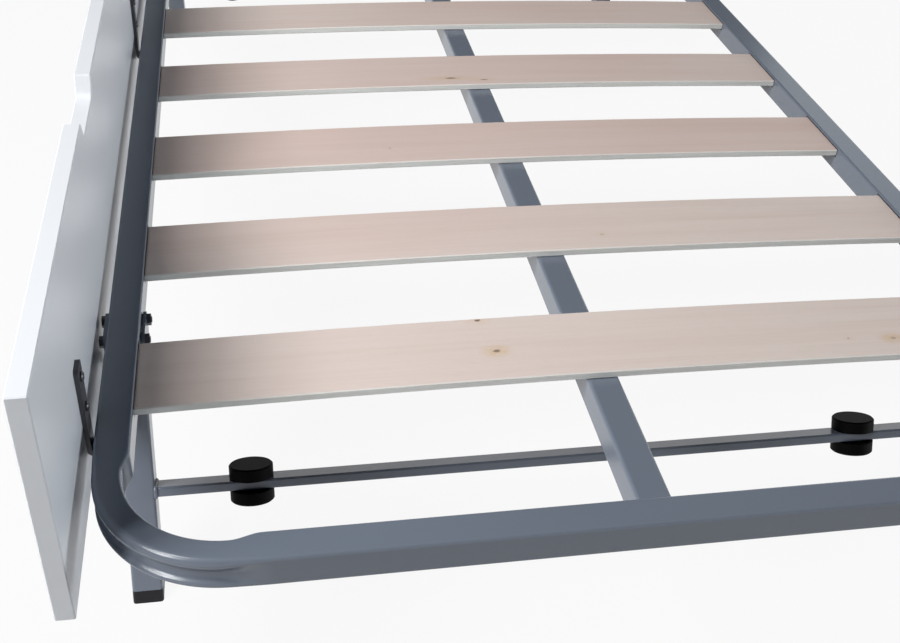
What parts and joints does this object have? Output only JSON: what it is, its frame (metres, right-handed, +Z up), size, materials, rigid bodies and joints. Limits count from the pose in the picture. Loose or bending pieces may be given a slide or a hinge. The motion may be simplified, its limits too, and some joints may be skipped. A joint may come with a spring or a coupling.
{
  "type": "trundle bed",
  "caption": "Low slatted trundle bed on folding leg frames with rollers, a bent-tube steel frame, sprung wooden slats and a white side panel with hand grips.",
  "frame": {"origin": "on the floor under the middle of the raised bed's box", "axes": "+Z up, +Y along the bed to its far end, -X towards the white panel"},
  "size_m": [0.934, 1.9, 0.431],
  "materials": {
    "grey_paint": "semi-gloss powder coat",
    "slat_wood": "bare sanded plywood",
    "white_board": "white laminated board, satin",
    "black_plastic": "moulded, slightly satin",
    "black_steel": "black coated steel",
    "nylon": "moulded nylon",
    "bright_steel": "ground pin"
  },
  "bodies": {
    "frame": {"bracket_bolts": "black_steel", "centre_beam": "grey_paint", "far_end_bow": "grey_paint", "far_left_inner_hinge_plate": "grey_paint", "far_left_outer_hinge_plate": "grey_paint", "far_right_inner_hinge_plate": "grey_paint", "far_right_outer_hinge_plate": "grey_paint", "front_panel": "white_board", "hinge_nuts": "black_steel", "hinge_washers": "black_steel", "left_side_rail": "grey_paint", "near_end_bow": "grey_paint", "near_left_inner_hinge_plate": "grey_paint", "near_left_outer_hinge_plate": "grey_paint", "near_right_inner_hinge_plate": "grey_paint", "near_right_outer_hinge_plate": "grey_paint", "panel_bracket_1": "black_steel", "panel_bracket_2": "black_steel", "panel_bracket_3": "black_steel", "panel_screws": "black_steel", "pivot_bolts": "black_steel", "rail_bolts": "black_steel", "right_side_rail": "grey_paint", "slat_1": "slat_wood", "slat_2": "slat_wood", "slat_3": "slat_wood", "slat_4": "slat_wood", "slat_5": "slat_wood", "slat_6": "slat_wood", "slat_7": "slat_wood", "slat_8": "slat_wood", "slat_end_caps": "nylon"},
    "near_leg_frame": {"near_axle_bushes": "nylon", "near_cross_bar": "grey_paint", "near_left_foot_cap": "black_plastic", "near_left_leg": "grey_paint", "near_pivot_bushes": "nylon", "near_right_foot_cap": "black_plastic", "near_right_leg": "grey_paint"},
    "far_leg_frame": {"far_axle_bushes": "nylon", "far_cross_bar": "grey_paint", "far_left_foot_cap": "black_plastic", "far_left_leg": "grey_paint", "far_pivot_bushes": "nylon", "far_right_foot_cap": "black_plastic", "far_right_leg": "grey_paint"},
    "near_left_roller_pair": {"near_left_axle": "bright_steel", "near_left_lower_roller": "black_plastic", "near_left_upper_roller": "black_plastic"},
    "near_right_roller_pair": {"near_right_axle": "bright_steel", "near_right_lower_roller": "black_plastic", "near_right_upper_roller": "black_plastic"},
    "far_left_roller_pair": {"far_left_axle": "bright_steel", "far_left_lower_roller": "black_plastic", "far_left_upper_roller": "black_plastic"},
    "far_right_roller_pair": {"far_right_axle": "bright_steel", "far_right_lower_roller": "black_plastic", "far_right_upper_roller": "black_plastic"}
  },
  "joints": [
    {"name": "near_leg_fold", "type": "hinge", "parent": "frame", "child": "near_leg_frame", "pos_m": [0, -0.633, 0.2246], "axis": [1, 0, 0], "range_deg": [0, 114]},
    {"name": "far_leg_fold", "type": "hinge", "parent": "frame", "child": "far_leg_frame", "pos_m": [0, 0.633, 0.2246], "axis": [-1, 0, 0], "range_deg": [0, 114]},
    {"name": "near_left_roller_spin", "type": "hinge", "parent": "near_leg_frame", "child": "near_left_roller_pair", "pos_m": [-0.317, -0.69101, 0.10046], "axis": [0, 0.4067, 0.9135], "continuous": true},
    {"name": "near_right_roller_spin", "type": "hinge", "parent": "near_leg_frame", "child": "near_right_roller_pair", "pos_m": [0.335, -0.69101, 0.10046], "axis": [0, 0.4067, 0.9135], "continuous": true},
    {"name": "far_left_roller_spin", "type": "hinge", "parent": "far_leg_frame", "child": "far_left_roller_pair", "pos_m": [-0.317, 0.69101, 0.10046], "axis": [0, -0.4067, 0.9135], "continuous": true},
    {"name": "far_right_roller_spin", "type": "hinge", "parent": "far_leg_frame", "child": "far_right_roller_pair", "pos_m": [0.335, 0.69101, 0.10046], "axis": [0, -0.4067, 0.9135], "continuous": true}
  ]
}
